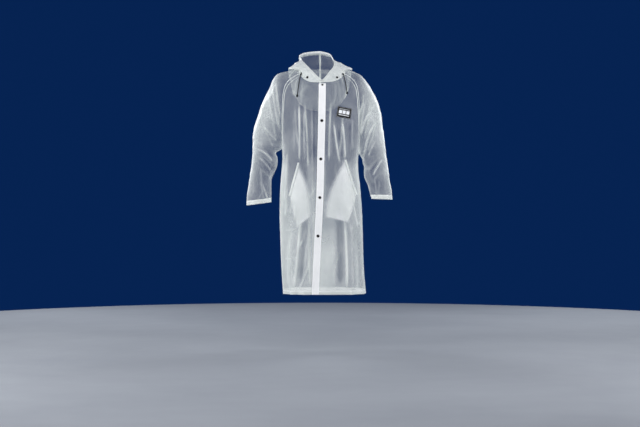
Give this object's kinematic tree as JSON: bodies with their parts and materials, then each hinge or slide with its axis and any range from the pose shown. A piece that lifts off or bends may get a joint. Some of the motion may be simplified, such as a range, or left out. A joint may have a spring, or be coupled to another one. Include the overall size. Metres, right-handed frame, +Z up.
{
  "type": "raincoat",
  "caption": "Long translucent hooded raincoat held in its worn shape, with raglan sleeves, snap placket, slanted pockets, chest patch and drawcord ends.",
  "frame": {"origin": "the middle between the wearer's shoulders, level with the foot of the neck, where the coat is held up", "axes": "+Z up, -Y out of the chest, +X to the wearer's left"},
  "size_m": [0.7674, 0.3765, 1.2948],
  "materials": {
    "film": "frosted translucent film, soft sheen",
    "white_film": "doubled or white frosted film, welded edges",
    "black_plastic": "moulded black plastic, satin",
    "black_cord": "braided black cord",
    "patch": "black printed patch with a pale frame"
  },
  "bodies": {
    "root": {"back": "film", "front_left": "film", "front_right": "film", "sleeve_left": "film", "sleeve_right": "film", "hood_left": "film", "hood_right": "film", "pocket_left": "film", "pocket_right": "film", "hem_back": "white_film", "hem_front_left": "white_film", "hem_front_right": "white_film", "cuff_left": "white_film", "cuff_right": "white_film", "placket": "white_film", "pocket_welt_left": "white_film", "pocket_welt_right": "white_film", "hood_channel_left": "white_film", "hood_channel_right": "white_film", "snap_1": "black_plastic", "snap_2": "black_plastic", "snap_3": "black_plastic", "snap_4": "black_plastic", "snap_5": "black_plastic", "hood_snap_left": "black_plastic", "hood_snap_right": "black_plastic", "eyelet_left": "black_plastic", "eyelet_right": "black_plastic", "cord_end_left": "black_plastic", "cord_end_right": "black_plastic", "drawcord_left": "black_cord", "drawcord_right": "black_cord", "chest_patch": "patch"}
  },
  "joints": []
}
